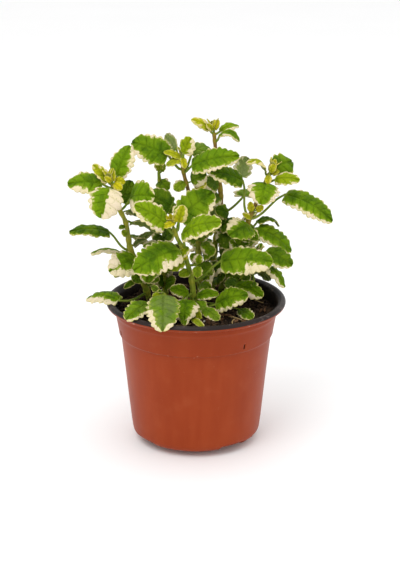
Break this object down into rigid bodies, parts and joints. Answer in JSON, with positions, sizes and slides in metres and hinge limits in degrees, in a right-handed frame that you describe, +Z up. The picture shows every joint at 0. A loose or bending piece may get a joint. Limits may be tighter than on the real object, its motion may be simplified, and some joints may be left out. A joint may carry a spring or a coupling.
{
  "type": "potted plectranthus",
  "caption": "Bushy variegated foliage plant with cream-edged toothed leaves, growing in a round tapered nursery pot with a rolled rim.",
  "frame": {"origin": "centre of the pot's base, on the surface it stands on", "axes": "+Z up along the pot's axis, -Y is the front, +X to the right"},
  "size_m": [0.1736, 0.1209, 0.2131],
  "materials": {
    "pot_plastic": "satin terracotta-coloured sheet, dark inside and on the rolled rim",
    "potting_mix": "damp crumbly peat with bark",
    "stem": "matt green, browner up the older shoots",
    "leaf": "softly quilted, cream margins"
  },
  "bodies": {
    "root": {"pot": "pot_plastic", "mix": "potting_mix", "stem_front": "stem", "stem_left": "stem", "stem_mid_left": "stem", "stem_centre": "stem", "stem_back": "stem", "stem_right": "stem", "stem_low_right": "stem", "stem_low_front": "stem", "leaf_left_01": "leaf", "leaf_left_02": "leaf", "leaf_left_03": "leaf", "leaf_left_04": "leaf", "leaf_left_05": "leaf", "leaf_left_06": "leaf", "leaf_left_07": "leaf", "leaf_left_08": "leaf", "leaf_left_09": "leaf", "leaf_left_10": "leaf", "leaf_left_11": "leaf", "leaf_left_12": "leaf", "leaf_left_13": "leaf", "leaf_front_01": "leaf", "leaf_front_02": "leaf", "leaf_front_03": "leaf", "leaf_front_04": "leaf", "leaf_front_05": "leaf", "leaf_front_06": "leaf", "leaf_front_07": "leaf", "leaf_front_08": "leaf", "leaf_front_09": "leaf", "leaf_front_10": "leaf", "leaf_low_front_01": "leaf", "leaf_low_front_02": "leaf", "leaf_mid_left_01": "leaf", "leaf_centre_01": "leaf", "leaf_centre_02": "leaf", "leaf_centre_03": "leaf", "leaf_centre_04": "leaf", "leaf_centre_05": "leaf", "leaf_centre_06": "leaf", "leaf_back_01": "leaf", "leaf_back_02": "leaf", "leaf_back_03": "leaf", "leaf_back_04": "leaf", "leaf_back_05": "leaf", "leaf_right_01": "leaf", "leaf_right_02": "leaf", "leaf_right_03": "leaf", "leaf_right_04": "leaf", "leaf_right_05": "leaf", "leaf_right_06": "leaf", "leaf_right_07": "leaf", "leaf_right_08": "leaf", "leaf_right_09": "leaf", "leaf_low_right_01": "leaf", "leaf_low_right_02": "leaf", "leaf_low_right_03": "leaf", "leaf_low_right_04": "leaf"}
  },
  "joints": []
}
